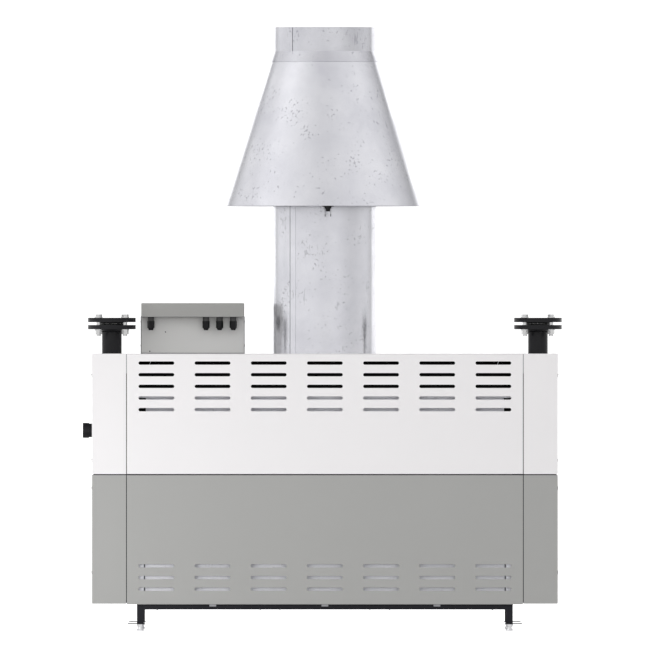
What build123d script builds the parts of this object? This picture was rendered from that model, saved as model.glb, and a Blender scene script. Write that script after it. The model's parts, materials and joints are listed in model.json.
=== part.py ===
from build123d import *
import os
from math import acos, cos, degrees, radians, sin, sqrt

os.makedirs("parts", exist_ok=True)

# Atmospheric boiler in a louvred sheet-steel casing, with a draught hood on its flue.
# Millimetres, +Z up, floor at z = 0, flue axis on the Z axis.
# The photographed side faces -Y and is called the front; +X is to its right.

# Casing
casing_width = 1800.0
casing_depth = 860.0
casing_bottom = 105.0
casing_top = 1071.0
sheet = 1.5
split_height = 604.0
split_gap = 4.0
side_return = 132.0
seam_gap = 3.0
centre_panel_drop = 2.5
fold_depth = 15.0
fold_notch = 40.0
bend_radius = 2.5
seam_strip_width = 64.0
seam_strip_height = 74.0
fit_gap = 0.3

# Louvre slots of the centre panels
slot_length = 138.0
slot_height = 13.0
slot_margin = 45.0
slot_pitch_z = 45.0
slot_columns = 7
upper_slot_rows = 5
lower_slot_rows = 3
upper_slots_below_top = 36.0
lower_slots_above_edge = 59.0

# Base frame
rail_below_casing = 22.5
rail_depth = 40.0
rail_inset = 17.0
steel = 2.5
leg_width = 26.5
leg_from_side = 187.0
foot_plate_level = 26.0
foot_plate_thick = 3.5
foot_plate_reach = 36.0
foot_plate_inner = 3.0
foot_plate_depth = 54.0
anchor_hole_r = 6.0
anchor_from_edge = 14.0
cross_width = 79.0
cross_drop = 4.0
inner_cross_x = 212.0
foot_pad_r = 13.0
foot_pad_height = 9.5
foot_neck_r = 9.0
foot_neck_height = 6.0
foot_nut_flats = 24.0
base_sheet = 2.0

# Panel hooks under the lower centre panels
hook_width = 26.0
hook_height = 8.0
hook_pitch = 433.0
hook_from_face = 9.0
hook_thick = 2.0

# Inner body seen through the slots
housing_setback = 28.0
housing_below_split = 4.0
upright_clearance = 5.5
upright_depth = 28.0
upright_setback = 20.0
jacket_step = 2.0
jacket_setback = 50.0
lid_overhang_x = 33.0
lid_overhang_y = 15.0
lid_edge = 12.0
lid_below_top = 159.0
header_reach = 60.0
header_depth = 180.0
header_above_split = 36.0

# Flue and draught hood
flue_radius = 200.0
flue_wall = 1.5
collector_depth = 560.0
collector_taper = 35.0
flue_pipe_in_hood = 217.0
flue_hole_clearance = 6.0
seam_lap_thick = 1.2
seam_lap_width = 25.0
seam_lap_x = -133.0
hood_above_casing = 572.0
hood_rim_radius = 395.0
hood_height = 594.0
hood_lip_width = 20.0
neck_overlap = 35.0
outlet_height = 99.0
bracket_above_rim = 57.0
bracket_height = 40.0
bracket_thick = 3.0
bracket_count = 4

# Spillage thermostat under the hood rim
thermostat_x = 12.0
thermostat_flange_width = 46.0
thermostat_flange_depth = 30.0
thermostat_flange_thick = 3.0
thermostat_disc_radius = 14.0
thermostat_disc_height = 8.0
thermostat_body_radius = 8.75
thermostat_body_height = 11.0
terminal_width = 6.3
terminal_thick = 1.2
terminal_drop = 22.0
terminal_spacing = 22.0

# Water connections
stub_from_side = 74.0
stub_y = 0.0
stub_radius = 38.05
stub_wall = 2.9
stub_hole_clearance = 5.0
flange_radius = 92.5
bolt_circle_radius = 72.5
raised_face_radius = 46.0
raised_face = 4.5
hub_height = 9.0
lower_flange_above_casing = 94.5
lower_flange_thick = 16.5
counter_flange_thick = 17.0
counter_bore_radius = 38.5
gasket_thick = 2.0
gasket_inner_radius = 40.0
bolt_radius = 8.0
bolt_hole_radius = 9.0
bolt_head_flats = 24.0
bolt_head_height = 10.0
nut_height = 15.0
washer_radius = 15.0
washer_thick = 3.0
nut_washer_thick = 4.0
bolt_tail = 7.0

# Gas connection on the left side
gas_above_split = 169.0
gas_y = 180.0
gas_socket_radius = 29.5
gas_socket_length = 24.0
gas_shank_radius = 27.0
gas_shank_length = 16.0
gas_bore_radius = 22.4
gas_bore_depth = 22.0
gas_pipe_radius = 24.15
gas_hole_clearance = 1.5

# Control box on the casing
box_from_side = 186.0
box_length = 402.0
box_from_back = 15.0
box_depth = 305.0
box_height = 143.0
cover_height = 53.0
cover_inset = 1.5
cover_overhang = 50.0
box_corner = 4.0
cover_edge_radius = 3.0
gland_1_from_end = 39.0
gland_2_from_end = 253.0
gland_3_from_end = 305.5
gland_4_from_end = 358.5
gland_collar_radius = 12.5
gland_collar_height = 16.5
gland_nut_flats = 24.0
gland_nut_height = 27.0
gland_dome_height = 8.5
gland_tip_radius = 7.5
gland_bore_radius = 5.0

# Corner radius of a hexagon for each millimetre across its flats
hexagon_corner = 1 / sqrt(3)

# Places that follow from the sizes above
half_width = casing_width / 2
half_depth = casing_depth / 2
tray_start = half_width - side_return
half_centre = tray_start - seam_gap
centre_panel_width = 2 * half_centre
slot_pitch_x = (centre_panel_width - 2 * slot_margin - slot_length) / (slot_columns - 1)
upper_bottom = split_height + split_gap / 2
upper_top = casing_top - sheet
lower_top = split_height - split_gap / 2
centre_bottom = casing_bottom - centre_panel_drop
rail_bottom = casing_bottom - rail_below_casing
cross_bottom = rail_bottom - cross_drop
base_sheet_level = casing_bottom + sheet
rail_top = base_sheet_level
collector_top = upper_top
housing_bottom = base_sheet_level + base_sheet
rail_face = half_depth - rail_inset
leg_centre_x = half_width - leg_from_side
leg_y = rail_face - leg_width / 2
housing_half_width = leg_centre_x - leg_width / 2 - upright_clearance
housing_top = lower_top - housing_below_split
jacket_half_width = housing_half_width - jacket_step
lid_top = casing_top - lid_below_top
lid_bottom = lid_top - lid_edge
header_bottom = split_height + header_above_split
box_top = casing_top + box_height
box_left = box_from_side - half_width
box_middle = box_left + box_length / 2
box_back_wall = half_depth - box_from_back
box_front_wall = box_back_wall - box_depth
gland_y = box_front_wall - cover_overhang / 2
gland_places = [
    (box_left + from_end, gland_y)
    for from_end in (gland_1_from_end, gland_2_from_end, gland_3_from_end, gland_4_from_end)
]
gas_height = split_height + gas_above_split
stub_x = half_width - stub_from_side
lower_flange_bottom = casing_top + lower_flange_above_casing
hood_rim_level = casing_top + hood_above_casing
hood_neck_level = hood_rim_level + hood_height
outlet_top = hood_neck_level + outlet_height
flue_pipe_top = hood_rim_level + flue_pipe_in_hood
bracket_level = hood_rim_level + bracket_above_rim
flange_face = lower_flange_bottom + lower_flange_thick + raised_face
counter_flange_bottom = flange_face + gasket_thick + raised_face
counter_flange_top = counter_flange_bottom + counter_flange_thick
header_top = lid_bottom - fit_gap
hood_slope = (hood_rim_radius - flue_radius) / (hood_neck_level - hood_rim_level)


def save(piece, name):
    piece.part.label = name
    export_step(piece.part, f"parts/{name}.step")


# Louvred centre panel: a sheet folded inwards along both edges, with rows of round-ended slots.
# facing is -1 at the front and +1 at the back; the notch shortens the folds at both ends.
def louvred_panel(name, facing, bottom, top, first_row, rows, notch):
    section_plane = Plane(origin=(-half_centre, 0, 0), x_dir=(0, 1, 0), z_dir=(1, 0, 0))
    face = facing * half_depth
    inner_face = facing * (half_depth - sheet)
    fold_end = facing * (half_depth - fold_depth)
    slot_plane = Plane(origin=(0, face, 0), x_dir=(-facing, 0, 0), z_dir=(0, facing, 0))
    outer, inner = (0, 1) if facing < 0 else (-1, -2)
    with BuildPart() as panel:
        with BuildSketch(section_plane) as section:
            with BuildLine():
                Polyline(
                    (fold_end, bottom),
                    (face, bottom),
                    (face, top),
                    (fold_end, top),
                    (fold_end, top - sheet),
                    (inner_face, top - sheet),
                    (inner_face, bottom + sheet),
                    (fold_end, bottom + sheet),
                    close=True,
                )
            make_face()
            fillet(section.vertices().group_by(Axis.X)[outer], bend_radius)
            fillet(section.vertices().group_by(Axis.X)[inner], bend_radius - sheet)
        extrude(amount=centre_panel_width)
        with BuildSketch(slot_plane):
            with Locations((0, first_row + (rows - 1) * slot_pitch_z / 2)):
                with GridLocations(slot_pitch_x, slot_pitch_z, slot_columns, rows):
                    SlotOverall(slot_length, slot_height)
        extrude(amount=-fold_depth, mode=Mode.SUBTRACT)
        if notch:
            with BuildSketch(Plane.XY.offset(bottom)):
                with GridLocations(2 * (half_centre - notch / 2), 1, 2, 1):
                    with Locations((0, (inner_face + fold_end) / 2)):
                        Rectangle(notch, abs(inner_face - fold_end))
            extrude(amount=top - bottom, mode=Mode.SUBTRACT)
    save(panel, name)


# Side panel: one sheet folded round the side, with a return onto the front and the back.
def side_panel(name, side, bottom, top, gas_hole):
    inner_x = half_width - sheet
    inner_y = half_depth - sheet
    outer, inner = (0, 1) if side < 0 else (-1, -2)
    with BuildPart() as tray:
        with BuildSketch(Plane.XY.offset(bottom)) as section:
            with Locations((side * (tray_start + half_width) / 2, 0)):
                Rectangle(half_width - tray_start, casing_depth)
            with Locations((side * (tray_start + inner_x) / 2 - side * sheet, 0)):
                Rectangle(inner_x - tray_start + 2 * sheet, 2 * inner_y, mode=Mode.SUBTRACT)
            fillet(section.vertices().group_by(Axis.X)[outer], bend_radius)
            fillet(section.vertices().group_by(Axis.X)[inner], bend_radius - sheet)
        extrude(amount=top - bottom)
        for level in (bottom, top - sheet):
            with BuildSketch(Plane.XY.offset(level)):
                with Locations((side * (inner_x - fold_depth / 2), 0)):
                    Rectangle(fold_depth, casing_depth - 2 * fold_notch)
            extrude(amount=sheet)
        if gas_hole:
            with BuildSketch(Plane.YZ.offset(side * half_width)):
                with Locations((gas_y, gas_height)):
                    Circle(gas_shank_radius + gas_hole_clearance)
            extrude(amount=-side * sheet * 2, mode=Mode.SUBTRACT)
    save(tray, name)


upper_first_row = casing_top - upper_slots_below_top - (upper_slot_rows - 1) * slot_pitch_z
lower_first_row = centre_bottom + lower_slots_above_edge
for place, facing in (("front", -1), ("back", 1)):
    louvred_panel(
        f"{place}_upper_panel", facing, upper_bottom, upper_top, upper_first_row, upper_slot_rows, fold_notch
    )
    louvred_panel(f"{place}_lower_panel", facing, centre_bottom, lower_top, lower_first_row, lower_slot_rows, 0)
for place, side in (("left", -1), ("right", 1)):
    side_panel(f"{place}_upper_side_panel", side, upper_bottom, upper_top, side < 0)
    side_panel(f"{place}_lower_side_panel", side, casing_bottom, lower_top, False)

# Top panel: a flat sheet on the panels' folds
with BuildPart() as top_panel:
    with BuildSketch(Plane.XY.offset(upper_top)):
        Rectangle(casing_width, casing_depth)
        Circle(flue_radius + flue_hole_clearance, mode=Mode.SUBTRACT)
        with Locations((-stub_x, stub_y), (stub_x, stub_y)):
            Circle(stub_radius + stub_hole_clearance, mode=Mode.SUBTRACT)
    extrude(amount=sheet)
save(top_panel, "top_panel")

# Strips under the top panel that close the upper ends of the vertical seams from behind
strip_y = half_depth - 1.5 * sheet - fit_gap
with BuildPart() as seam_strips:
    with BuildSketch(Plane.XY.offset(upper_top)):
        with GridLocations(2 * (half_centre + seam_gap / 2), 2 * strip_y, 2, 2):
            Rectangle(seam_strip_width, sheet)
    extrude(amount=-seam_strip_height)
save(seam_strips, "seam_strips")

# Floor sheet inside the casing, on the folds of the side panels
with BuildPart() as base_sheet_part:
    with BuildSketch(Plane.XY.offset(base_sheet_level)):
        Rectangle(casing_width - 2 * (sheet + fit_gap), casing_depth - 2 * (sheet + fit_gap))
    extrude(amount=base_sheet)
save(base_sheet_part, "base_sheet")

# Base frame rails: channels between the legs, open towards the inside
rail_end = leg_centre_x - leg_width / 2
for place, facing in (("front", -1), ("back", 1)):
    rail_plane = Plane(origin=(-rail_end, 0, 0), x_dir=(0, facing, 0), z_dir=(1, 0, 0))
    rail_height = rail_top - rail_bottom
    with BuildPart() as rail:
        with BuildSketch(rail_plane):
            with Locations((rail_face - rail_depth / 2, facing * (rail_bottom + rail_height / 2))):
                Rectangle(rail_depth, rail_height)
            with Locations((rail_face - rail_depth / 2 - steel, facing * (rail_bottom + rail_height / 2))):
                Rectangle(rail_depth, rail_height - 2 * steel, mode=Mode.SUBTRACT)
        extrude(amount=2 * rail_end)
    save(rail, f"{place}_rail")

# Cross members: channels with the flanges down, between the rails
end_cross_x = leg_centre_x + leg_width / 2 - cross_width / 2
cross_length = 2 * (rail_face - rail_depth)
with BuildPart() as cross_members:
    for x in (-end_cross_x, -inner_cross_x, inner_cross_x, end_cross_x):
        with BuildSketch(Plane.XZ.offset(-cross_length / 2)):
            with Locations((x, (rail_top + cross_bottom) / 2)):
                Rectangle(cross_width, rail_top - cross_bottom)
            with Locations((x, (rail_top + cross_bottom) / 2 - steel)):
                Rectangle(cross_width - 2 * steel, rail_top - cross_bottom, mode=Mode.SUBTRACT)
        extrude(amount=cross_length)
save(cross_members, "cross_members")

# Corner legs: square bar up to the floor sheet, on a foot plate that reaches outwards with its anchor hole
foot_plate_top = foot_plate_level + foot_plate_thick
for corner, side, facing in (
    ("left_front", -1, -1),
    ("right_front", 1, -1),
    ("left_back", -1, 1),
    ("right_back", 1, 1),
):
    leg_x = side * leg_centre_x
    leg_place_y = facing * leg_y
    plate_length = leg_width + foot_plate_reach + foot_plate_inner
    plate_x = leg_x + side * (foot_plate_reach - foot_plate_inner) / 2
    anchor_x = side * (leg_centre_x + leg_width / 2 + foot_plate_reach - anchor_from_edge)
    with BuildPart() as leg:
        with BuildSketch(Plane.XY.offset(foot_plate_level)):
            with Locations((plate_x, leg_place_y)):
                Rectangle(plate_length, foot_plate_depth)
            with Locations((anchor_x, leg_place_y)):
                Circle(anchor_hole_r, mode=Mode.SUBTRACT)
        extrude(amount=foot_plate_thick)
        with BuildSketch(Plane.XY.offset(foot_plate_top)):
            with Locations((leg_x, leg_place_y)):
                Rectangle(leg_width, leg_width)
        extrude(amount=base_sheet_level - foot_plate_top)
    save(leg, f"{corner}_leg")

# Levelling feet: pad, neck and hexagon nut under each foot plate
foot_nut_level = foot_pad_height + foot_neck_height
with BuildPart() as levelling_feet:
    with BuildSketch():
        with GridLocations(2 * leg_centre_x, 2 * leg_y, 2, 2):
            Circle(foot_pad_r)
    extrude(amount=foot_pad_height)
    with BuildSketch(Plane.XY.offset(foot_pad_height)):
        with GridLocations(2 * leg_centre_x, 2 * leg_y, 2, 2):
            Circle(foot_neck_r)
    extrude(amount=foot_neck_height)
    with BuildSketch(Plane.XY.offset(foot_nut_level)):
        with GridLocations(2 * leg_centre_x, 2 * leg_y, 2, 2):
            RegularPolygon(foot_nut_flats * hexagon_corner, 6)
    extrude(amount=foot_plate_level - foot_nut_level)
save(levelling_feet, "levelling_feet")

# Hooks under the lower centre panels
with BuildPart() as panel_hooks:
    with BuildSketch(Plane.XY.offset(centre_bottom)):
        with GridLocations(hook_pitch, 2 * (half_depth - hook_from_face), 3, 2):
            Rectangle(hook_width, hook_thick)
    extrude(amount=-hook_height)
save(panel_hooks, "panel_hooks")

# Burner housing: the galvanised lower body close behind the slots
housing_depth = casing_depth - 2 * housing_setback
with BuildPart() as burner_housing:
    with BuildSketch(Plane.XY.offset(housing_bottom)):
        Rectangle(2 * housing_half_width, housing_depth)
    extrude(amount=housing_top - housing_bottom)
save(burner_housing, "burner_housing")

# Uprights at the corners of the burner housing
upright_y = half_depth - upright_setback - upright_depth / 2
with BuildPart() as uprights:
    with BuildSketch(Plane.XY.offset(housing_bottom)):
        with GridLocations(2 * leg_centre_x, 2 * upright_y, 2, 2):
            Rectangle(leg_width, upright_depth)
    extrude(amount=housing_top - housing_bottom)
save(uprights, "corner_uprights")

# Heat exchanger in its galvanised jacket, and the jacket's folded lid
jacket_depth = casing_depth - 2 * jacket_setback
with BuildPart() as jacket:
    with BuildSketch(Plane.XY.offset(housing_top)):
        Rectangle(2 * jacket_half_width, jacket_depth)
    extrude(amount=lid_bottom - housing_top)
save(jacket, "heat_exchanger_jacket")
with BuildPart() as jacket_lid:
    with BuildSketch(Plane.XY.offset(lid_bottom)):
        Rectangle(2 * (jacket_half_width + lid_overhang_x), jacket_depth + 2 * lid_overhang_y)
    extrude(amount=lid_top - lid_bottom)
save(jacket_lid, "jacket_lid")

# Flue gas collector: a tapered box along the whole heat exchanger, which carries the top panel
collector_length = 2 * (jacket_half_width + lid_overhang_x)
with BuildPart() as collector:
    with BuildSketch(Plane.XY.offset(lid_top)):
        Rectangle(collector_length, collector_depth)
    with BuildSketch(Plane.XY.offset(collector_top)):
        Rectangle(collector_length - collector_taper, collector_depth - 2 * collector_taper)
    loft()
save(collector, "flue_collector")

# Flue pipe standing on the collector and ending inside the hood, with the lap of its long seam
lap_start = 360 - degrees(acos(seam_lap_x / flue_radius))
lap_sweep = degrees(seam_lap_width / flue_radius)
with BuildPart() as flue_pipe:
    with BuildSketch(Plane.XY.offset(collector_top)):
        Circle(flue_radius)
        with BuildLine():
            lap_outside = CenterArc((0, 0), flue_radius + seam_lap_thick, lap_start, lap_sweep)
            Line(lap_outside @ 0, (0, 0))
            Line(lap_outside @ 1, (0, 0))
        make_face()
        Circle(flue_radius - flue_wall, mode=Mode.SUBTRACT)
    extrude(amount=flue_pipe_top - collector_top)
save(flue_pipe, "flue_pipe")


def hood_radius(level):
    return flue_radius + hood_slope * (hood_neck_level - level)


# Draught hood: an open cone with a flat lip turned in at the rim
wall_across = flue_wall * sqrt(1 + hood_slope**2)
hood_cone_top = hood_neck_level - flue_wall
with BuildPart() as hood:
    with BuildSketch(Plane.XZ):
        with BuildLine():
            Polyline(
                (hood_rim_radius, hood_rim_level),
                (hood_radius(hood_cone_top), hood_cone_top),
                (hood_radius(hood_cone_top) - wall_across, hood_cone_top),
                (hood_rim_radius - wall_across - flue_wall * hood_slope, hood_rim_level + flue_wall),
                (hood_rim_radius - hood_lip_width, hood_rim_level + flue_wall),
                (hood_rim_radius - hood_lip_width, hood_rim_level),
                close=True,
            )
        make_face()
    revolve(axis=Axis.Z)
save(hood, "draught_hood")

# Outlet collar: a round spigot with a skirt over the top of the cone
skirt_level = hood_neck_level - neck_overlap
lap = wall_across + fit_gap
skirt_start = hood_neck_level + lap / hood_slope
skirt_start_inside = hood_neck_level + (flue_wall + fit_gap) / hood_slope
with BuildPart() as outlet_collar:
    with BuildSketch(Plane.XZ):
        with BuildLine():
            Polyline(
                (flue_radius, outlet_top),
                (flue_radius, skirt_start),
                (hood_radius(skirt_level) + lap, skirt_level),
                (hood_radius(skirt_level) + fit_gap, skirt_level),
                (flue_radius - flue_wall, skirt_start_inside),
                (flue_radius - flue_wall, outlet_top),
                close=True,
            )
        make_face()
    revolve(axis=Axis.Z)
save(outlet_collar, "outlet_collar")

# Brackets that carry the hood on the flue pipe
with BuildPart() as hood_brackets:
    for number in range(bracket_count):
        turn = 360 / bracket_count * (number + 0.5)
        bracket_plane = Plane(
            origin=(0, 0, 0),
            x_dir=(cos(radians(turn)), sin(radians(turn)), 0),
            z_dir=(sin(radians(turn)), -cos(radians(turn)), 0),
        )
        inner = flue_radius + fit_gap
        reach_low = hood_radius(bracket_level) - wall_across - fit_gap
        reach_high = hood_radius(bracket_level + bracket_height) - wall_across - fit_gap
        with BuildSketch(bracket_plane):
            with BuildLine():
                Polyline(
                    (inner, bracket_level),
                    (reach_low, bracket_level),
                    (reach_high, bracket_level + bracket_height),
                    (inner, bracket_level + bracket_height),
                    close=True,
                )
            make_face()
        extrude(amount=bracket_thick / 2, both=True)
save(hood_brackets, "hood_brackets")

# Spillage thermostat under the hood's lip
thermostat_y = -(hood_rim_radius - thermostat_flange_depth / 2)
thermostat_flange_bottom = hood_rim_level - thermostat_flange_thick
thermostat_disc_bottom = thermostat_flange_bottom - thermostat_disc_height
with BuildPart() as thermostat:
    with BuildSketch(Plane.XY.offset(hood_rim_level)):
        with Locations((thermostat_x, thermostat_y)):
            SlotOverall(thermostat_flange_width, thermostat_flange_depth)
    extrude(amount=-thermostat_flange_thick)
    with BuildSketch(Plane.XY.offset(thermostat_flange_bottom)):
        with Locations((thermostat_x, thermostat_y)):
            Circle(thermostat_disc_radius)
    extrude(amount=-thermostat_disc_height)
    with BuildSketch(Plane.XY.offset(thermostat_disc_bottom)):
        with Locations((thermostat_x, thermostat_y)):
            Circle(thermostat_body_radius)
    extrude(amount=-thermostat_body_height)
    with BuildSketch(Plane.XY.offset(thermostat_disc_bottom)):
        with Locations((thermostat_x, thermostat_y)):
            with GridLocations(terminal_spacing, 1, 2, 1):
                Rectangle(terminal_thick, terminal_width)
    extrude(amount=-terminal_drop)
save(thermostat, "spillage_thermostat")

# Water connections: header, stub pipe with its flange, gasket, counter flange and bolts
bolt_head_radius = bolt_head_flats * hexagon_corner
for place, side in (("left", -1), ("right", 1)):
    axis_x = side * stub_x
    header_length = stub_x + header_reach - jacket_half_width
    with BuildPart() as header:
        with BuildSketch(Plane.XY.offset(header_bottom)):
            with Locations((side * (jacket_half_width + header_length / 2), stub_y)):
                Rectangle(header_length, header_depth)
        extrude(amount=header_top - header_bottom)
    save(header, f"{place}_water_header")

    with BuildPart() as stub:
        with BuildSketch(Plane.XY.offset(header_top)):
            with Locations((axis_x, stub_y)):
                Circle(stub_radius)
        extrude(amount=flange_face - header_top)
        with BuildSketch(Plane.XY.offset(lower_flange_bottom)):
            with Locations((axis_x, stub_y)):
                Circle(flange_radius)
                with PolarLocations(bolt_circle_radius, 4, start_angle=45):
                    Circle(bolt_hole_radius, mode=Mode.SUBTRACT)
        extrude(amount=lower_flange_thick)
        with BuildSketch(Plane.XY.offset(lower_flange_bottom + lower_flange_thick)):
            with Locations((axis_x, stub_y)):
                Circle(raised_face_radius)
        extrude(amount=raised_face)
        with Locations((axis_x, stub_y, lower_flange_bottom)):
            Cone(stub_radius, raised_face_radius, hub_height, align=(Align.CENTER, Align.CENTER, Align.MAX))
        with BuildSketch(Plane.XY.offset(flange_face)):
            with Locations((axis_x, stub_y)):
                Circle(stub_radius - stub_wall)
        extrude(amount=header_top - flange_face, mode=Mode.SUBTRACT)
    save(stub, f"{place}_water_stub")

    with BuildPart() as gasket:
        with BuildSketch(Plane.XY.offset(flange_face)):
            with Locations((axis_x, stub_y)):
                Circle(raised_face_radius)
                Circle(gasket_inner_radius, mode=Mode.SUBTRACT)
        extrude(amount=gasket_thick)
    save(gasket, f"{place}_flange_gasket")

    with BuildPart() as counter_flange:
        with BuildSketch(Plane.XY.offset(counter_flange_bottom)):
            with Locations((axis_x, stub_y)):
                Circle(flange_radius)
                with PolarLocations(bolt_circle_radius, 4, start_angle=45):
                    Circle(bolt_hole_radius, mode=Mode.SUBTRACT)
        extrude(amount=counter_flange_thick)
        with BuildSketch(Plane.XY.offset(counter_flange_bottom)):
            with Locations((axis_x, stub_y)):
                Circle(raised_face_radius)
        extrude(amount=-raised_face)
        with BuildSketch(Plane.XY.offset(counter_flange_bottom - raised_face)):
            with Locations((axis_x, stub_y)):
                Circle(counter_bore_radius)
        extrude(amount=raised_face + counter_flange_thick, mode=Mode.SUBTRACT)
    save(counter_flange, f"{place}_counter_flange")

    nut_top = lower_flange_bottom - nut_washer_thick
    with BuildPart() as flange_bolts:
        with Locations((axis_x, stub_y)):
            with PolarLocations(bolt_circle_radius, 4, start_angle=45):
                shank_bottom = nut_top - nut_height - bolt_tail
                with Locations((0, 0, shank_bottom)):
                    Cylinder(
                        bolt_radius,
                        counter_flange_top - shank_bottom,
                        align=(Align.CENTER, Align.CENTER, Align.MIN),
                    )
        for level, height in ((counter_flange_top, washer_thick), (nut_top, nut_washer_thick)):
            with BuildSketch(Plane.XY.offset(level)):
                with Locations((axis_x, stub_y)):
                    with PolarLocations(bolt_circle_radius, 4, start_angle=45):
                        Circle(washer_radius)
            extrude(amount=height)
        for level, height in (
            (counter_flange_top + washer_thick, bolt_head_height),
            (nut_top - nut_height, nut_height),
        ):
            with BuildSketch(Plane.XY.offset(level)):
                with Locations((axis_x, stub_y)):
                    with PolarLocations(bolt_circle_radius, 4, start_angle=45):
                        RegularPolygon(bolt_head_radius, 6)
            extrude(amount=height)
    save(flange_bolts, f"{place}_flange_bolts")

# Gas connection: a socket outside the left side panel on the pipe from the jacket
gas_socket_end = -half_width - gas_shank_length - gas_socket_length
with BuildPart() as gas_connection:
    with BuildSketch(Plane.YZ.offset(-jacket_half_width)):
        with Locations((gas_y, gas_height)):
            Circle(gas_pipe_radius)
    extrude(amount=-(half_width + gas_shank_length - jacket_half_width))
    with BuildSketch(Plane.YZ.offset(-half_width + fold_depth)):
        with Locations((gas_y, gas_height)):
            Circle(gas_shank_radius)
    extrude(amount=-(gas_shank_length + fold_depth))
    with BuildSketch(Plane.YZ.offset(-half_width - gas_shank_length)):
        with Locations((gas_y, gas_height)):
            Circle(gas_socket_radius)
    extrude(amount=-gas_socket_length)
    with BuildSketch(Plane.YZ.offset(gas_socket_end)):
        with Locations((gas_y, gas_height)):
            Circle(gas_bore_radius)
    extrude(amount=gas_bore_depth, mode=Mode.SUBTRACT)
save(gas_connection, "gas_connection")

# Control box: a plain housing, and a cover that overhangs it on the gland side
with BuildPart() as control_box:
    with BuildSketch(Plane.XY.offset(casing_top)):
        with Locations((box_middle, (box_front_wall + box_back_wall) / 2)):
            RectangleRounded(box_length, box_back_wall - box_front_wall, box_corner)
    extrude(amount=box_height)
save(control_box, "control_box")

cover_front = box_front_wall - cover_overhang
with BuildPart() as box_cover:
    with BuildSketch(Plane.XY.offset(box_top)):
        with Locations((box_middle, (cover_front + box_back_wall) / 2)):
            RectangleRounded(box_length - 2 * cover_inset, box_back_wall - cover_front, box_corner)
    extrude(amount=cover_height)
    fillet(box_cover.edges().group_by(Axis.Z)[-1], cover_edge_radius)
save(box_cover, "control_box_cover")

# Collars under the overhang, which hold the cable glands
gland_nut_top = box_top - gland_collar_height
gland_dome_top = gland_nut_top - gland_nut_height
gland_bottom = gland_dome_top - gland_dome_height
with BuildPart() as gland_collars:
    with BuildSketch(Plane.XY.offset(box_top)):
        with Locations(*gland_places):
            Circle(gland_collar_radius)
            Circle(gland_bore_radius, mode=Mode.SUBTRACT)
    extrude(amount=-gland_collar_height)
save(gland_collars, "gland_collars")

# Cable glands: hexagon nut and domed end round the cable bore
with BuildPart() as cable_glands:
    for place in gland_places:
        with BuildSketch(Plane.XY.offset(gland_nut_top)):
            with Locations(place):
                RegularPolygon(gland_nut_flats * hexagon_corner, 6)
        extrude(amount=-gland_nut_height)
        with BuildSketch(Plane.XY.offset(gland_dome_top)):
            with Locations(place):
                Circle(gland_nut_flats / 2)
        with BuildSketch(Plane.XY.offset(gland_bottom)):
            with Locations(place):
                Circle(gland_tip_radius)
        loft()
    with BuildSketch(Plane.XY.offset(gland_nut_top)):
        with Locations(*gland_places):
            Circle(gland_bore_radius)
    extrude(amount=gland_bottom - gland_nut_top, mode=Mode.SUBTRACT)
save(cable_glands, "cable_glands")
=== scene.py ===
"""Industrial boiler: finishes, small fittings, camera, floor and light round the nodes of the CAD."""

import json
import math

import bmesh
import bpy
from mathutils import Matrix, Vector


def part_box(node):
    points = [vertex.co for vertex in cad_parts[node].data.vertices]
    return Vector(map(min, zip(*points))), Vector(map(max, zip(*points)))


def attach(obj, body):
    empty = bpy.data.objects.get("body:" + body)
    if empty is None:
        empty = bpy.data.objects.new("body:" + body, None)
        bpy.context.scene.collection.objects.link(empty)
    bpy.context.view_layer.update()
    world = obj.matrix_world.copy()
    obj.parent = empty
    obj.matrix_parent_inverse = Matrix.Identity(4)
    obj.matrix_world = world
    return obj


MM = 0.001
# Faces of a fitting that meet at less than this angle to each other are shaded as one smooth surface
SMOOTH_BELOW = math.radians(35)
# A face counts as square to a direction when the cosine between its normal and the direction is above this
SQUARE_ON = 0.99
UP = (0, 0, 1)
DOWN = (0, 0, -1)
RIGHT = (1, 0, 0)
FORWARD = (0, -1, 0)
# Left and right, or front and back; and the casing's four upright edges, as (left or right, front or back)
BOTH = (-1, 1)
EDGES = [(side, facing) for side in BOTH for facing in BOTH]

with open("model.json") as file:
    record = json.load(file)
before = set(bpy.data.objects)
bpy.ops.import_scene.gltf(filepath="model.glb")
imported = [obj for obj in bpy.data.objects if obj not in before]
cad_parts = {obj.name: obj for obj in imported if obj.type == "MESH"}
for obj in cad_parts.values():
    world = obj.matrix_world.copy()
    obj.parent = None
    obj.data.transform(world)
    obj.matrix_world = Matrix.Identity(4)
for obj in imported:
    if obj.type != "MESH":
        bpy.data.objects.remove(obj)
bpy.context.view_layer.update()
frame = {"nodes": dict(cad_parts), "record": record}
nodes = frame["nodes"]
scene = bpy.context.scene


def srgb(code):
    """An sRGB hex colour as the linear colour that a shader socket takes."""
    channels = [int(code[i : i + 2], 16) / 255 for i in (0, 2, 4)]
    return tuple(
        c / 12.92 if c <= 0.04045 else ((c + 0.055) / 1.055) ** 2.4 for c in channels
    ) + (1.0,)


def shader_node(tree, kind, settings=None, sockets=None, links=None):
    """Adds one node: its settings, the plain values on its sockets and what is linked into it."""
    made = tree.nodes.new(kind)
    for name, value in (settings or {}).items():
        setattr(made, name, value)
    for name, value in (sockets or {}).items():
        made.inputs[name].default_value = value
    for name, source in (links or {}).items():
        tree.links.new(source, made.inputs[name])
    return made


def new_finish(name):
    """An empty material, with the object coordinates in metres that every pattern here is laid on."""
    material = bpy.data.materials.new(name)
    material.use_nodes = True
    tree = material.node_tree
    tree.nodes.clear()
    place = shader_node(tree, "ShaderNodeTexCoord")
    return material, tree, place.outputs["Object"]


def close_finish(material, tree, sockets, links):
    """Ends the material in one principled surface."""
    surface = shader_node(tree, "ShaderNodeBsdfPrincipled", sockets=sockets, links=links)
    shader_node(tree, "ShaderNodeOutputMaterial", links={"Surface": surface.outputs["BSDF"]})
    return material


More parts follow.
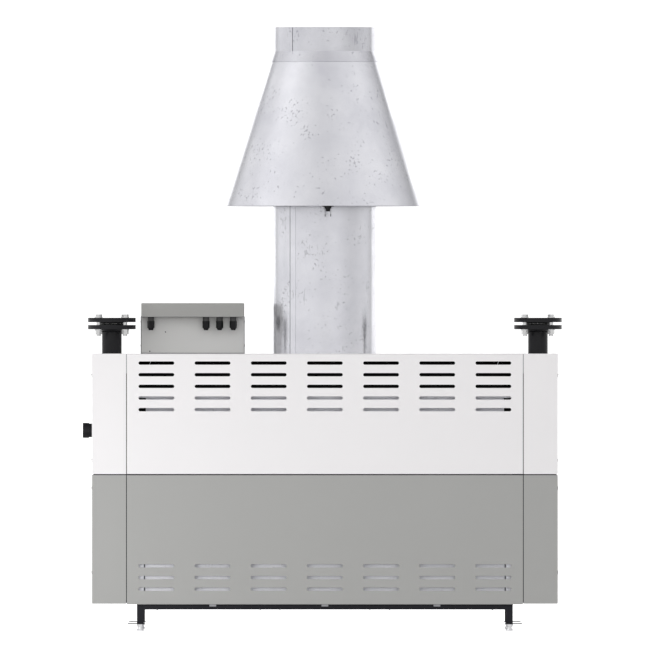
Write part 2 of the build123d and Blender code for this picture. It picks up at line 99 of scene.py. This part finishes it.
def per_metre(size_mm):
    """The Scale of a noise or Voronoi node for features size_mm across."""
    return 1000.0 / size_mm


def noise(tree, place, size_mm, detail, roughness=0.5):
    made = shader_node(
        tree,
        "ShaderNodeTexNoise",
        sockets={"Scale": per_metre(size_mm), "Detail": detail, "Roughness": roughness},
        links={"Vector": place},
    )
    return made.outputs["Fac"]


def reshaped(tree, place, turned=(0.0, 0.0, 0.0), scaled=(1.0, 1.0, 1.0)):
    """Coordinates turned by radians about X, Y and Z and scaled, to lay a pattern askew or drawn out."""
    made = shader_node(
        tree, "ShaderNodeMapping", sockets={"Rotation": turned, "Scale": scaled}, links={"Vector": place}
    )
    return made.outputs["Vector"]


def arithmetic(tree, operation, *terms):
    """One step of arithmetic on plain numbers and on the outputs of other nodes."""
    made = shader_node(tree, "ShaderNodeMath", {"operation": operation})
    for i, term in enumerate(terms):
        if isinstance(term, (int, float)):
            made.inputs[i].default_value = term
        else:
            tree.links.new(term, made.inputs[i])
    return made.outputs["Value"]


def ranged(tree, value, to_low, to_high, from_low=0.0, from_high=1.0, settings=None):
    """A value between from_low and from_high laid out between to_low and to_high, and held there beyond."""
    limits = {"From Min": from_low, "From Max": from_high, "To Min": to_low, "To Max": to_high}
    made = shader_node(tree, "ShaderNodeMapRange", settings, limits, {"Value": value})
    return made.outputs["Result"]


def tinted(tree, share, first, second):
    """A colour that goes from the first hex colour to the second as share goes from 0 to 1."""
    colours = {6: srgb(first), 7: srgb(second)}
    made = shader_node(tree, "ShaderNodeMix", {"data_type": "RGBA"}, colours, {0: share})
    return made.outputs[2]


def relief(tree, height, strength, depth_mm):
    made = shader_node(
        tree,
        "ShaderNodeBump",
        sockets={"Strength": strength, "Distance": depth_mm * MM},
        links={"Height": height},
    )
    return made.outputs["Normal"]


def powder_coat(name, colour, deeper, roughness, gloss):
    """Polyester powder coat on sheet steel, baked: orange peel, and a faint cloudiness in its thickness.

    The peel is about 2 mm across, which a render can only show drawn at 5 mm.
    """
    material, tree, place = new_finish(name)
    cloud = noise(tree, place, size_mm=420, detail=3)
    peel = noise(tree, place, size_mm=5, detail=2)
    links = {
        "Base Color": tinted(tree, cloud, colour, deeper),
        "Roughness": ranged(tree, peel, roughness - 0.03, roughness + 0.03),
        "Normal": relief(tree, peel, strength=0.06, depth_mm=0.4),
    }
    return close_finish(material, tree, {"Specular IOR Level": gloss}, links)


def galvanised_sheet(name, bright, dull, mark, roughness, marked, metallic):
    """Hot-dip galvanised sheet that has been handled.

    Its zinc is brighter and duller in soft clouds with faint grains. On it lie clusters of small dark
    marks and a few short drag marks, askew. marked is how far these go towards their own colour, 0 to 1.
    """
    material, tree, place = new_finish(name)
    grains = shader_node(
        tree,
        "ShaderNodeTexVoronoi",
        {"feature": "F1"},
        {"Scale": per_metre(30), "Randomness": 1.0},
        {"Vector": place},
    )
    grain_grey = shader_node(tree, "ShaderNodeSeparateColor", links={"Color": grains.outputs["Color"]})
    cloud = noise(tree, place, size_mm=170, detail=5, roughness=0.55)
    patches = ranged(tree, cloud, 0.0, 0.85, from_low=0.30, from_high=0.72)
    grain_share = 0.15
    mottle = arithmetic(tree, "MULTIPLY_ADD", grain_grey.outputs["Red"], grain_share, patches)

    # Specks crowd together, and drag marks run, where the cluster noise is high
    cluster = noise(tree, place, size_mm=95, detail=4)
    density = arithmetic(tree, "MULTIPLY_ADD", cluster, 0.8, 0.6)
    specks = arithmetic(tree, "MULTIPLY", noise(tree, place, size_mm=11, detail=1), density)
    speck_marks = ranged(tree, specks, 0.0, marked, from_low=0.68, from_high=0.76)

    leaning = reshaped(tree, place, turned=(0.25, 0.75, 0.4), scaled=(1.0, 1.0, 0.16))
    drags = arithmetic(tree, "MULTIPLY", noise(tree, leaning, size_mm=9, detail=1), cluster)
    drag_marks = ranged(tree, drags, 0.0, marked, from_low=0.42, from_high=0.46)

    marks = arithmetic(tree, "MAXIMUM", speck_marks, drag_marks)
    colour = shader_node(
        tree,
        "ShaderNodeMix",
        {"data_type": "RGBA"},
        {7: srgb(mark)},
        {0: marks, 6: tinted(tree, mottle, bright, dull)},
    )
    links = {
        "Base Color": colour.outputs[2],
        "Roughness": ranged(tree, mottle, roughness - 0.04, roughness + 0.06),
        "Normal": relief(tree, cloud, strength=0.05, depth_mm=0.5),
    }
    return close_finish(material, tree, {"Metallic": metallic}, links)


def satin_paint(name, colour, dust, roughness, grit_mm, gloss):
    """Brushed or sprayed satin paint on steel or iron: dark, a little dusty, with a soft sheen."""
    material, tree, place = new_finish(name)
    film = noise(tree, place, size_mm=60, detail=5)
    grit = noise(tree, place, size_mm=grit_mm, detail=3)
    links = {
        "Base Color": tinted(tree, film, colour, dust),
        "Roughness": ranged(tree, film, roughness - 0.05, roughness + 0.07),
        "Normal": relief(tree, grit, strength=0.15, depth_mm=0.3),
    }
    return close_finish(material, tree, {"Specular IOR Level": gloss}, links)


def plated_metal(name, colour, deeper, roughness, mark_mm):
    """Plated metal with a turned or drawn surface: fine marks round the part, a slightly uneven shine."""
    material, tree, place = new_finish(name)
    drawn_out = reshaped(tree, place, scaled=(0.2, 0.2, 1.0))
    lines = noise(tree, drawn_out, size_mm=mark_mm, detail=3)
    links = {
        "Base Color": tinted(tree, lines, colour, deeper),
        "Roughness": ranged(tree, lines, roughness - 0.04, roughness + 0.06),
    }
    return close_finish(material, tree, {"Metallic": 1.0}, links)


def matt_moulding(name, colour, paler, roughness):
    """Moulded plastic or pressed fibre, and a matt grey that stands as painted shade: matt, with a fine
    grain drawn at 1.5 mm.
    """
    material, tree, place = new_finish(name)
    grain = noise(tree, place, size_mm=1.5, detail=2)
    links = {
        "Base Color": tinted(tree, grain, colour, paler),
        "Roughness": ranged(tree, grain, roughness - 0.05, roughness + 0.05),
        "Normal": relief(tree, grain, strength=0.2, depth_mm=0.2),
    }
    return close_finish(material, tree, {"Specular IOR Level": 0.25}, links)


white_powder_coat = powder_coat("white_powder_coat", "F5F3F4", "F3F1F2", roughness=0.50, gloss=0.30)
grey_powder_coat = powder_coat("grey_powder_coat", "AAAAA8", "A7A7A5", roughness=0.42, gloss=0.50)
# The box is partly a lighter grey paint than its cover and partly painted light: its grey is raised further
# for bounce light its face lacks
box_coat_and_painted_bounce = powder_coat("box_grey_coat_and_painted_bounce_light", "DEDEDC", "DBDBD9", roughness=0.45, gloss=0.30)
cover_powder_coat = powder_coat("grey_cover_powder_coat", "B0B0AD", "ADADAA", roughness=0.42, gloss=0.40)
flue_zinc = galvanised_sheet(
    "galvanised_flue_sheet", "E3E3E8", "D2D2D9", "8A8A91", roughness=0.20, marked=0.42, metallic=0.82
)
collar_zinc = galvanised_sheet(
    "galvanised_collar_sheet", "D5D5DA", "C5C5CC", "8A8A91", roughness=0.20, marked=0.36, metallic=0.82
)
dull_zinc = galvanised_sheet(
    "dull_galvanised_sheet", "A6A6AA", "9A9A9E", "808084", roughness=0.50, marked=0.30, metallic=0.60
)
inner_zinc = galvanised_sheet(
    "galvanised_inner_sheet", "FAFAFF", "F4F4FA", "C0C0C4", roughness=0.50, marked=0.25, metallic=0.82
)
frame_paint = satin_paint(
    "satin_black_frame_paint", "13131A", "1A1A22", roughness=0.45, grit_mm=3, gloss=0.24
)
pipe_paint = satin_paint(
    "satin_black_pipe_paint", "0A0A0E", "131318", roughness=0.38, grit_mm=3, gloss=0.28
)
cast_paint = satin_paint("black_cast_iron", "101010", "1A1A1A", roughness=0.60, grit_mm=2, gloss=0.3)
# Heat-resisting black of the flue gas collector; on the angles at its ends the same black is painted shade
collector_black_and_slot_shade = satin_paint(
    "heat_resisting_black_and_slot_shade", "0A0A0B", "101011", roughness=0.70, grit_mm=3, gloss=0.2
)
bright_nickel = plated_metal("bright_nickel_plate", "F0F0F2", "DCDCDE", roughness=0.14, mark_mm=3)
zinc_plate = plated_metal("zinc_plated_steel", "D8D8D8", "C4C4C4", roughness=0.15, mark_mm=2)
# A matt grey that is painted shade: in the flue's seams, round the control box's face and in the gaps beside
# the burner housing
seam_and_gap_painted_shade = matt_moulding("grey_seam_and_gap_painted_shade", "5C5C62", "66666C", roughness=0.70)
gasket_fibre = matt_moulding("pressed_gasket_fibre", "C2C2C2", "CECECE", roughness=0.80)
# Dark grey of the gland collars: painted shadow, the soft shadow of each gland under the control box's cover
gland_collar_painted_shadow = matt_moulding("grey_gland_collar_painted_shadow", "4A4A4A", "525252", roughness=0.60)
# Black polyamide of the glands and the lead sleeves; the same black is painted shade on the strips behind
# the casing's gaps
black_polyamide_and_gap_shade = matt_moulding("black_polyamide_and_gap_shade", "0B0B0D", "151518", roughness=0.50)

# The finish of each material slot, and of the few CAD nodes that differ from the rest of their slot
finishes = {
    "white_panels": white_powder_coat,
    "grey_panels": grey_powder_coat,
    "galvanised_sheet": inner_zinc,
    "black_steel": frame_paint,
    "collector_plate": collector_black_and_slot_shade,
    "chromed_steel": bright_nickel,
    "flue_sheet": flue_zinc,
    "black_pipework": pipe_paint,
    "cast_header": cast_paint,
    "zinc_bolts": zinc_plate,
    "gasket_fibre": gasket_fibre,
    "grey_housing": box_coat_and_painted_bounce,
    "black_plastic": black_polyamide_and_gap_shade,
}
own_finishes = {
    "control_box_cover": cover_powder_coat,
    "outlet_collar": collar_zinc,
    "seam_strips": dull_zinc,
    "panel_hooks": dull_zinc,
    "gland_collars": gland_collar_painted_shadow,
}
slot_of = {entry["node"]: entry["material_slot"] for entry in frame["record"]["subparts"]}
for name, part in nodes.items():
    part.data.materials.clear()
    part.data.materials.append(own_finishes.get(name, finishes[slot_of[name]]))


# Small fittings. Most are modelled once, standing on the floor, and then copied to their places.
def deselect():
    bpy.ops.object.select_all(action="DESELECT")


def take(pieces):
    """Selects these objects and no others, the first of them active."""
    deselect()
    for piece in pieces:
        piece.select_set(True)
    bpy.context.view_layer.objects.active = pieces[0]


def join(pieces):
    """Makes one object of several."""
    take(pieces)
    if len(pieces) > 1:
        bpy.ops.object.join()
    return pieces[0]


def apply_transform():
    bpy.ops.object.transform_apply(location=True, rotation=True, scale=True)


def pick_faces(piece, wanted):
    """In edit mode: selects the faces whose centre and normal pass the test, and nothing else."""
    bpy.ops.mesh.select_all(action="DESELECT")
    bpy.ops.mesh.select_mode(type="FACE")
    mesh = bmesh.from_edit_mesh(piece.data)
    for face in mesh.faces:
        face.select_set(wanted(face.calc_center_median(), face.normal))
    bmesh.update_edit_mesh(piece.data)


def extrude(distance_y, distance_z):
    bpy.ops.mesh.extrude_region_move(TRANSFORM_OT_translate={"value": (0.0, distance_y, distance_z)})


def standing_cylinder(corners, radius, height):
    deselect()
    bpy.ops.mesh.primitive_cylinder_add(
        vertices=corners, radius=radius, depth=height, location=(0, 0, height / 2)
    )
    return bpy.context.object


def domed_head(corners, radius, height, rounding, steps, rim, sunk):
    """Round head with its upper edge rounded in steps, and its middle sunk inside a rim."""
    head = standing_cylinder(corners, radius, height)
    bpy.ops.object.mode_set(mode="EDIT")
    pick_faces(head, lambda centre, normal: normal.z > SQUARE_ON)
    bpy.ops.mesh.bevel(offset=rounding, segments=steps, profile=0.5)
    pick_faces(head, lambda centre, normal: normal.z > SQUARE_ON and centre.z > height * 0.9)
    bpy.ops.mesh.inset(thickness=rim)
    extrude(0.0, -sunk)
    bpy.ops.object.mode_set(mode="OBJECT")
    return head


def button_head(radius, height):
    """Head of a button-head screw with the socket for its key."""
    rounding = height * 0.75
    return domed_head(24, radius, height, rounding, 4, rim=(radius - rounding) * 0.35, sunk=height * 0.55)


def rivet_head(radius, height):
    """Blind rivet: a flat dome with the dimple that its pulled mandrel leaves."""
    return domed_head(20, radius, height, height * 0.8, 3, rim=radius * 0.12, sunk=height * 0.4)


def bead(radius, length):
    """Bead standing up, with rounded ends: a sleeve, or a grey bead that stands as painted shade in a seam
    or gap.
    """
    run = standing_cylinder(12, radius, length)
    bpy.ops.object.mode_set(mode="EDIT")
    pick_faces(run, lambda centre, normal: abs(normal.z) > SQUARE_ON)
    bpy.ops.mesh.bevel(offset=radius * 0.6, segments=2, profile=0.5)
    bpy.ops.object.mode_set(mode="OBJECT")
    return run


def folded_strip(width, thick, height, foot):
    """Strip of sheet: a flat plate on its edge with a foot bent out at the bottom."""
    deselect()
    bpy.ops.mesh.primitive_cube_add(size=1, location=(0, 0, 0.5))
    strip = bpy.context.object
    bpy.ops.transform.resize(value=(width, thick, height), center_override=(0, 0, 0))
    apply_transform()
    bpy.ops.object.mode_set(mode="EDIT")
    bpy.ops.mesh.bisect(plane_co=(0, 0, thick), plane_no=(0, 0, 1))
    pick_faces(strip, lambda centre, normal: normal.y < -SQUARE_ON and centre.z < thick)
    extrude(-foot, 0.0)
    bpy.ops.object.mode_set(mode="OBJECT")
    return strip


def soft_bar(low, high, softness):
    """Dark bar between two corners, with softened edges, that stands as painted shade in a gap."""
    deselect()
    bpy.ops.mesh.primitive_cube_add(size=1, location=[(low[i] + high[i]) / 2 for i in range(3)])
    bar = bpy.context.object
    bpy.ops.transform.resize(value=[high[i] - low[i] for i in range(3)])
    apply_transform()
    bpy.ops.object.mode_set(mode="EDIT")
    bpy.ops.mesh.select_all(action="SELECT")
    bpy.ops.mesh.bevel(offset=softness, segments=1)
    bpy.ops.object.mode_set(mode="OBJECT")
    return bar


def settle(piece, name, finish):
    """Names a finished piece, gives it its finish and makes it part of the boiler."""
    piece.name = name
    piece.data.materials.clear()
    piece.data.materials.append(finish)
    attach(piece, "root")


def spread(master, name, places, finish):
    """Copies the master to each place, its top along the heading given there, as one joined piece."""
    take([master])
    apply_transform()
    copies = []
    for spot, heading in places:
        twin = master.copy()
        twin.data = master.data.copy()
        scene.collection.objects.link(twin)
        twin.location = spot
        twin.rotation_mode = "QUATERNION"
        twin.rotation_quaternion = Vector(heading).to_track_quat("Z", "Y")
        copies.append(twin)
    bpy.data.objects.remove(master)
    piece = join(copies)
    apply_transform()
    bpy.ops.object.mode_set(mode="EDIT")
    bpy.ops.mesh.select_all(action="SELECT")
    bpy.ops.mesh.normals_make_consistent(inside=False)
    bpy.ops.object.mode_set(mode="OBJECT")
    bpy.ops.object.shade_smooth_by_angle(angle=SMOOTH_BELOW)
    settle(piece, name, finish)


def stretch(side, inner, outer):
    """From inner to outer on one side of the middle, the lower end first."""
    return sorted((side * inner, side * outer))


# Black strips behind the sheets, as painted shade in the gaps: a ring round the casing at the line between
# the upper and the lower panels, and an upright length behind each seam between the side panels and the
# centre panels
top_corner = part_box("top_panel")[1]
half_x, half_y = top_corner[0], top_corner[1]
ring_low, ring_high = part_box("front_lower_panel")[1][2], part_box("front_upper_panel")[0][2]
shade_bar_softness = 0.6 * MM
ring_out, ring_in = 5.5 * MM, 17.5 * MM
ring_bars = []
for side in BOTH:
    near, far = stretch(side, half_y - ring_out, half_y - ring_in)
    reach = half_x - ring_out
    ring_bars.append(soft_bar((-reach, near, ring_low), (reach, far, ring_high), shade_bar_softness))
    near, far = stretch(side, half_x - ring_out, half_x - ring_in)
    reach = half_y - ring_in
    ring_bars.append(soft_bar((near, -reach, ring_low), (far, reach, ring_high), shade_bar_softness))
settle(join(ring_bars), "split_line_gap_painted_shade", black_polyamide_and_gap_shade)

seam_from, seam_to = 752 * MM, 781 * MM
shade_strip_out, shade_strip_in = 1.6 * MM, 5.2 * MM
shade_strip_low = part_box("base_sheet")[1][2] + 0.2 * MM
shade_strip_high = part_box("seam_strips")[0][2] - 0.5 * MM
shade_strip_bars = []
for side, facing in EDGES:
    left, right = stretch(side, seam_from, seam_to)
    near, far = stretch(facing, half_y - shade_strip_out, half_y - shade_strip_in)
    shade_strip_bars.append(soft_bar((left, near, shade_strip_low), (right, far, shade_strip_high), shade_bar_softness))
settle(join(shade_strip_bars), "upright_seam_gap_painted_shade", black_polyamide_and_gap_shade)

# Grey bars in the gaps between the burner housing and the corner uprights, as painted shade of those gaps
housing_low, housing_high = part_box("burner_housing")
upright_gap, gap_shade_near, gap_shade_far, gap_shade_softness = 5.5 * MM, 386 * MM, 402 * MM, 1.2 * MM
gap_shade_bars = []
for side, facing in EDGES:
    left, right = stretch(side, housing_high[0], housing_high[0] + upright_gap)
    near, far = stretch(facing, gap_shade_near, gap_shade_far)
    gap_shade_bars.append(soft_bar((left, near, housing_low[2]), (right, far, housing_high[2]), gap_shade_softness))
settle(join(gap_shade_bars), "housing_gap_painted_shade", seam_and_gap_painted_shade)

# Screws in the side panels, near their front and back edges, at four levels
side_panel_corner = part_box("right_upper_side_panel")[1]
side_screw_x, side_screw_y = side_panel_corner[0], side_panel_corner[1] - 45 * MM
side_screw_levels = (987 * MM, 659 * MM, 552 * MM, 226 * MM)
spread(
    button_head(radius=6.2 * MM, height=3.2 * MM),
    "side_panel_screws",
    [
        ((side * side_screw_x, facing * side_screw_y, level), (side, 0, 0))
        for side, facing in EDGES
        for level in side_screw_levels
    ],
    zinc_plate,
)

# Thermostat at the hood's rim: rivets of its clip, square to the hood's cone, sleeves on its two leads
# below it, and two screws under its upper edge. Each pair stands as far aside from its middle as named here.
hood_low, hood_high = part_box("draught_hood")
collar_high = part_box("outlet_collar")[1]
rim_radius, rim_level = hood_high[0], hood_low[2]
neck_radius, neck_level = 200 * MM, hood_high[2]
cone_slope = (rim_radius - neck_radius) / (neck_level - rim_level)
clip_rivet_aside, clip_rivet_above_rim = 17.6 * MM, 14 * MM
lead_aside, sleeve_length, sleeve_below = 10.7 * MM, 10 * MM, 9 * MM
screw_aside, screw_below_top = 18.4 * MM, 3 * MM
thermostat_low, thermostat_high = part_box("spillage_thermostat")
thermostat_x = (thermostat_low[0] + thermostat_high[0]) / 2
thermostat_y = (thermostat_low[1] + thermostat_high[1]) / 2
clip_rivets = []
for side in BOTH:
    rivet_x = thermostat_x + side * clip_rivet_aside
    rivet_z = rim_level + clip_rivet_above_rim
    around = rim_radius - cone_slope * (rivet_z - rim_level)
    rivet_y = -math.sqrt(around**2 - rivet_x**2)
    clip_rivets.append(((rivet_x, rivet_y, rivet_z), (rivet_x / around, rivet_y / around, cone_slope)))
spread(
    rivet_head(radius=2.4 * MM, height=1.2 * MM),
    "thermostat_clip_rivets",
    clip_rivets,
    zinc_plate,
)
sleeve_level = thermostat_low[2] - sleeve_below
spread(
    bead(radius=1.4 * MM, length=sleeve_length),
    "thermostat_lead_sleeves",
    [((thermostat_x + side * lead_aside, thermostat_y, sleeve_level), UP) for side in BOTH],
    black_polyamide_and_gap_shade,
)
screw_level = thermostat_high[2] - screw_below_top
spread(
    button_head(radius=3.4 * MM, height=2.2 * MM),
    "thermostat_screws",
    [((thermostat_x + side * screw_aside, thermostat_y, screw_level), DOWN) for side in BOTH],
    zinc_plate,
)

# A dark bead along the long seams of the flue pipe and of the outlet collar, painted shade of the groove at
# each lap's
# edge: where each run stands, from and to which height
flue_radius = 200.3 * MM
pipe_low, pipe_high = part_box("flue_pipe")
seam_runs = (
    ("flue_pipe_seam_mastic", -134.8 * MM, pipe_low[2] + 2 * MM, pipe_high[2] - 5 * MM),
    ("outlet_collar_seam_mastic", -125.4 * MM, neck_level + 6 * MM, collar_high[2] - 1 * MM),
)
for name, seam_x, low, high in seam_runs:
    seam_foot = (seam_x, -math.sqrt(flue_radius**2 - seam_x**2), low)
    run = bead(radius=0.9 * MM, length=high - low)
    spread(run, name, [(seam_foot, UP)], seam_and_gap_painted_shade)

# Stiffening angles that stand on the ends of the flue gas collector's lid; their black is painted shade
# behind the end slots
lid_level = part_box("jacket_lid")[1][2]
angle_x, angle_y = 715.5 * MM, 236 * MM
spread(
    folded_strip(width=15 * MM, thick=2 * MM, height=150 * MM, foot=18 * MM),
    "collector_end_angles_slot_shade",
    [((side * angle_x, facing * angle_y, lid_level), UP) for side, facing in EDGES],
    collector_black_and_slot_shade,
)

# Clips under the top panel, all slanted the same way, which show as strips through the topmost slots
clip_x, clip_shift, clip_y, clip_level = 672 * MM, 8 * MM, 396 * MM, 1066 * MM
clip_heading = (-0.34, 0, -0.94)
spread(
    folded_strip(width=6.5 * MM, thick=1.5 * MM, height=46 * MM, foot=9 * MM),
    "top_panel_clips",
    [((side * clip_x + clip_shift, facing * clip_y, clip_level), clip_heading) for side, facing in EDGES],
    inner_zinc,
)

# Weld beads, a little uneven, between the stub pipes and the hubs of their flanges
weld_radius, weld_thickness, weld_level = 38.4 * MM, 1.9 * MM, 1155.5 * MM
weld_unevenness, weld_smooth_below = 0.35 * MM, math.radians(60)
for place in ("left", "right"):
    stub_low, stub_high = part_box(f"{place}_water_stub")
    deselect()
    bpy.ops.mesh.primitive_torus_add(
        major_radius=weld_radius, minor_radius=weld_thickness, major_segments=56, minor_segments=8,
        location=((stub_low[0] + stub_high[0]) / 2, (stub_low[1] + stub_high[1]) / 2, weld_level),
    )
    weld = bpy.context.object
    bpy.ops.object.mode_set(mode="EDIT")
    bpy.ops.mesh.select_all(action="SELECT")
    bpy.ops.transform.resize(value=(1, 1, 1.5))
    bpy.ops.transform.vertex_random(offset=weld_unevenness, seed=4)
    bpy.ops.object.mode_set(mode="OBJECT")
    apply_transform()
    bpy.ops.object.shade_smooth_by_angle(angle=weld_smooth_below)
    settle(weld, f"{place}_stub_weld", pipe_paint)

# Grey beads round the face of the control box, as painted shade at its edges and in the gap under the cover:
# at its foot, up both corners and under the cover's edge
box_low, box_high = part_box("control_box")
cover_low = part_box("control_box_cover")[0]
box_width, box_height = box_high[0] - box_low[0], box_high[2] - box_low[2]
face_y = box_low[1]
long_bead, corner_bead, corner_inset = 1.5 * MM, 1.1 * MM, 0.4 * MM
foot_lift, cover_inset = 1.2 * MM, 1.6 * MM
corner_y = face_y + corner_inset
painted_shade_bead_runs = (
    ("foot", long_bead, box_width, (box_low[0], face_y, box_low[2] + foot_lift), RIGHT),
    ("cover", long_bead, box_width, (box_low[0], cover_low[1] + cover_inset, cover_low[2]), RIGHT),
    ("left", corner_bead, box_height, (box_low[0] + corner_inset, corner_y, box_low[2]), UP),
    ("right", corner_bead, box_height, (box_high[0] - corner_inset, corner_y, box_low[2]), UP),
)
for place, radius, length, start, heading in painted_shade_bead_runs:
    name = f"control_box_{place}_mastic"
    spread(bead(radius, length), name, [(start, heading)], seam_and_gap_painted_shade)

# Rivets of the control box: two blind ones in its face, and four heads on each side
face_rivets = ((-618.6 * MM, 1155.0 * MM), (-679.5 * MM, 1080.0 * MM))
spread(
    rivet_head(radius=2.4 * MM, height=1.0 * MM),
    "control_box_face_rivets",
    [((x, face_y, z), FORWARD) for x, z in face_rivets],
    frame_paint,
)
side_rivet_depths, side_rivet_levels = (130 * MM, 395 * MM), (1102 * MM, 1195 * MM)
spread(
    rivet_head(radius=4.0 * MM, height=1.8 * MM),
    "control_box_side_rivets",
    [
        ((box_low[0] if side < 0 else box_high[0], y, z), (side, 0, 0))
        for side in BOTH
        for y in side_rivet_depths
        for z in side_rivet_levels
    ],
    zinc_plate,
)

# Camera: square on, and so far away that it draws the boiler in effect without perspective, as the photo
# does. What lies at the depth true_size_y, a little behind the casing's front, shows at its true size.
photo_width = 2514.85 * MM
true_size_y = -250 * MM
camera_back = 118.0
camera_x, camera_level = 0.46 * MM, 1182 * MM
sensor_width = 36.0
camera_data = bpy.data.cameras.new("camera")
camera_data.sensor_width = sensor_width
camera_data.lens = sensor_width * camera_back / photo_width
camera_data.clip_start = 1.0
camera_data.clip_end = 1000.0
camera = bpy.data.objects.new("camera", camera_data)
scene.collection.objects.link(camera)
camera.location = (camera_x, true_size_y - camera_back, camera_level)
camera.rotation_euler = (math.radians(90), 0, 0)
scene.camera = camera

# Floor: pale and plain, so large that its edge never shows, and as bright to the camera as the backdrop
floor_size, floor_lift = 1200, 0.95
deselect()
bpy.ops.mesh.primitive_plane_add(size=floor_size)
floor = bpy.context.object
floor.name = "floor"
floor_material, tree, place = new_finish("matt_white_floor")
floor_path = shader_node(tree, "ShaderNodeLightPath")
close_finish(
    floor_material,
    tree,
    {"Base Color": srgb("FAFAFA"), "Roughness": 0.9, "Emission Color": srgb("FFFFFF")},
    {"Emission Strength": arithmetic(tree, "MULTIPLY", floor_path.outputs["Is Camera Ray"], floor_lift)},
)
floor.data.materials.append(floor_material)

# Studio: a light tent made of soft glows, each round one heading. A row gives the degrees to the right of
# the camera's side, the degrees up, how bright the glow is, and how sharply it falls off round its heading.
glows = (
    (0, 4, 0.26, 6),
    (30, 4, 1.00, 6),
    (90, 4, 0.85, 6),
    (115, 4, 0.48, 16),
    (-125, 4, 1.00, 16),
    (-90, 4, 1.08, 6),
    (-60, 4, 0.33, 6),
    (-30, 4, 0.94, 6),
    (0, 40, 0.36, 6),
    (-70, 45, 0.63, 6),
    (70, 45, 0.74, 6),
)
WHITE = (1.0, 1.0, 1.0, 1.0)
backdrop_strength = 1.2
world = bpy.data.worlds.new("light_tent")
scene.world = world
world.use_nodes = True
tree = world.node_tree
tree.nodes.clear()
sky = shader_node(tree, "ShaderNodeTexCoord").outputs["Generated"]


def along(aim):
    """How far each heading of the sky lies along aim, as the cosine of the angle between them."""
    made = shader_node(tree, "ShaderNodeVectorMath", {"operation": "DOT_PRODUCT"}, {1: aim}, {0: sky})
    return made.outputs["Value"]


level = 0.0
for turn, lift, strength, sharpness in glows:
    flat = math.cos(math.radians(lift))
    aim = (
        math.sin(math.radians(turn)) * flat,
        -math.cos(math.radians(turn)) * flat,
        math.sin(math.radians(lift)),
    )
    facing_side = arithmetic(tree, "MAXIMUM", along(aim), 0.0)
    glow = arithmetic(tree, "POWER", facing_side, sharpness)
    level = arithmetic(tree, "MULTIPLY_ADD", glow, strength, level)
# The tent's back wall, lit evenly, whose sides give the flue its bright rims
wall_aim, wall_strength = (0.12, 0.97, -0.21), 1.75
wall_edge, wall_full = 0.66, 0.76
fading = {"interpolation_type": "SMOOTHSTEP"}
wall = ranged(tree, along(wall_aim), 0.0, wall_strength, wall_edge, wall_full, fading)
tent_level = arithmetic(tree, "ADD", level, wall)
tent = shader_node(tree, "ShaderNodeBackground", sockets={"Color": WHITE}, links={"Strength": tent_level})
backdrop = shader_node(
    tree, "ShaderNodeBackground", sockets={"Color": WHITE, "Strength": backdrop_strength}
)
# The camera sees a plain backdrop in the tent's place
camera_ray = shader_node(tree, "ShaderNodeLightPath").outputs["Is Camera Ray"]
seen = shader_node(
    tree, "ShaderNodeMixShader", links={0: camera_ray, 1: tent.outputs[0], 2: backdrop.outputs[0]}
)
shader_node(tree, "ShaderNodeOutputWorld", links={"Surface": seen.outputs[0]})


def soft_light(name, place, target, width, height, watts):
    """Rectangular lamp aimed at target, its width level, that the camera doesn't see."""
    data = bpy.data.lights.new(name, "AREA")
    data.shape = "RECTANGLE"
    data.size = width
    data.size_y = height
    data.energy = watts
    light = bpy.data.objects.new(name, data)
    scene.collection.objects.link(light)
    light.location = place
    heading_x, heading_y, heading_z = (target[i] - place[i] for i in range(3))
    flat = math.hypot(heading_x, heading_y)
    light.rotation_euler = (math.atan2(flat, -heading_z), 0, math.atan2(-heading_x, heading_y))
    light.visible_camera = False


soft_light(
    "low_left", place=(-1.7, -2.0, 0.32), target=(-0.6, -0.43, 0.22), width=1.6, height=0.4, watts=7.5
)

scene.view_settings.view_transform = "Standard"
scene.view_settings.look = "None"
